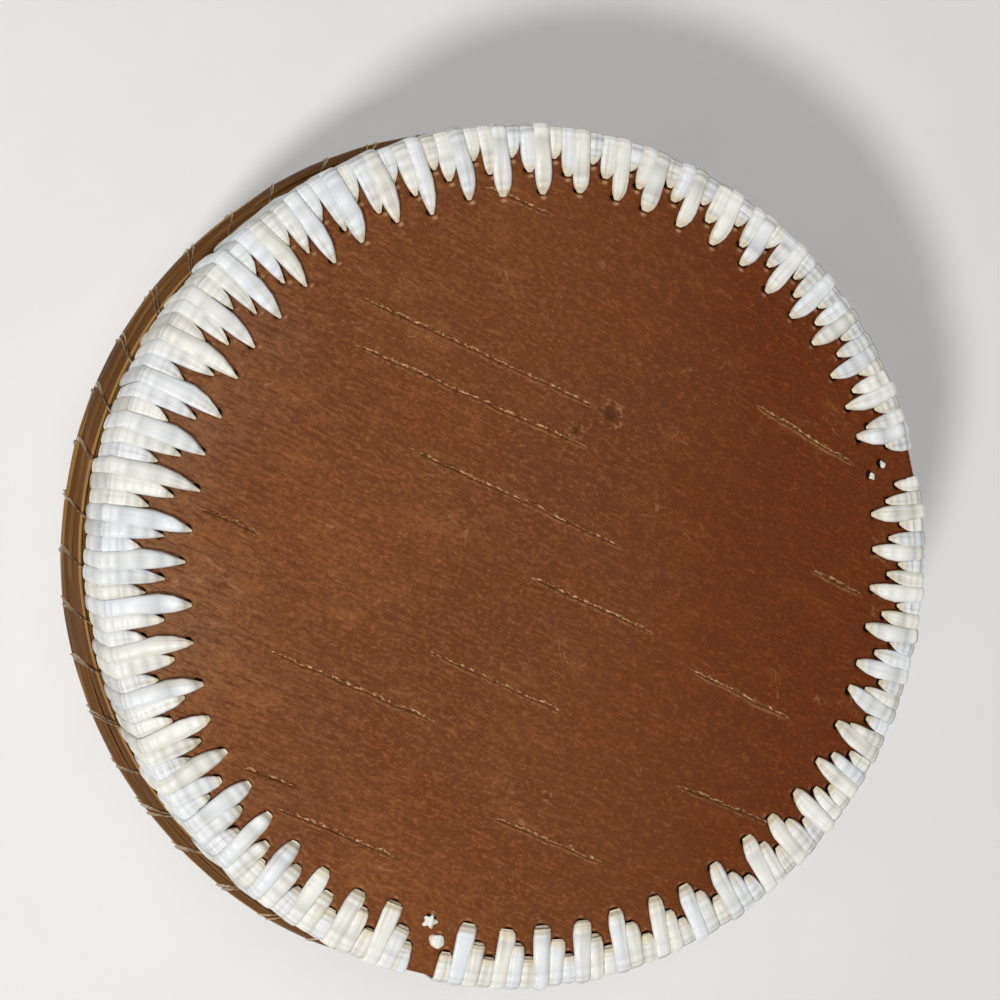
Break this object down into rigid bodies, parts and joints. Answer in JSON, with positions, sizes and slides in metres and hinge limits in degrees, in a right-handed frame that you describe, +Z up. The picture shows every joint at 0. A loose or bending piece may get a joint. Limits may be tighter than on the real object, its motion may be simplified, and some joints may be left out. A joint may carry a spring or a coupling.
{
  "type": "birch bark box",
  "caption": "Round bark box with a lift-off lid, its end edges stitched over with white quills in a sawtooth and its mouths bound with grass hoops.",
  "frame": {"origin": "centre of the quilled ring that the base stands on, at the level of the surface under it", "axes": "+Z up, along the axis of the box and the way the lid lifts; +X towards the side where the quills reach least far over the disc, which is the picture's right; +Y towards the picture's top"},
  "size_m": [0.1064, 0.1066, 0.0535],
  "materials": {
    "bark": "matt reddish brown birch bark, inner side out, with lenticels",
    "bark_lining": "matt tan birch bark",
    "quill": "pearly white porcupine quill",
    "sweetgrass": "dried sweetgrass blades, slightly glossy",
    "thread": "pale waxed sewing thread"
  },
  "bodies": {
    "base": {"base_bottom_bark": "bark", "base_bottom_lining": "bark_lining", "base_wall_bark": "bark", "base_wall_lining": "bark_lining", "base_collar": "bark_lining", "base_quills_long": "quill", "base_quills_medium": "quill", "base_quills_short": "quill", "base_hoop_core": "sweetgrass", "base_hoop_blades": "sweetgrass", "base_hoop_thread": "thread", "base_seam_thread": "thread"},
    "lid": {"lid_top_bark": "bark", "lid_top_lining": "bark_lining", "lid_wall_bark": "bark", "lid_wall_lining": "bark_lining", "lid_quills_long": "quill", "lid_quills_medium": "quill", "lid_quills_short": "quill", "lid_quill_stubs": "quill", "lid_hoop_core": "sweetgrass", "lid_hoop_blades": "sweetgrass", "lid_hoop_thread": "thread"}
  },
  "joints": [
    {"name": "lid_lift", "type": "slide", "parent": "base", "child": "lid", "axis": [0, 0, 1], "range_m": [0, 0.06]}
  ]
}
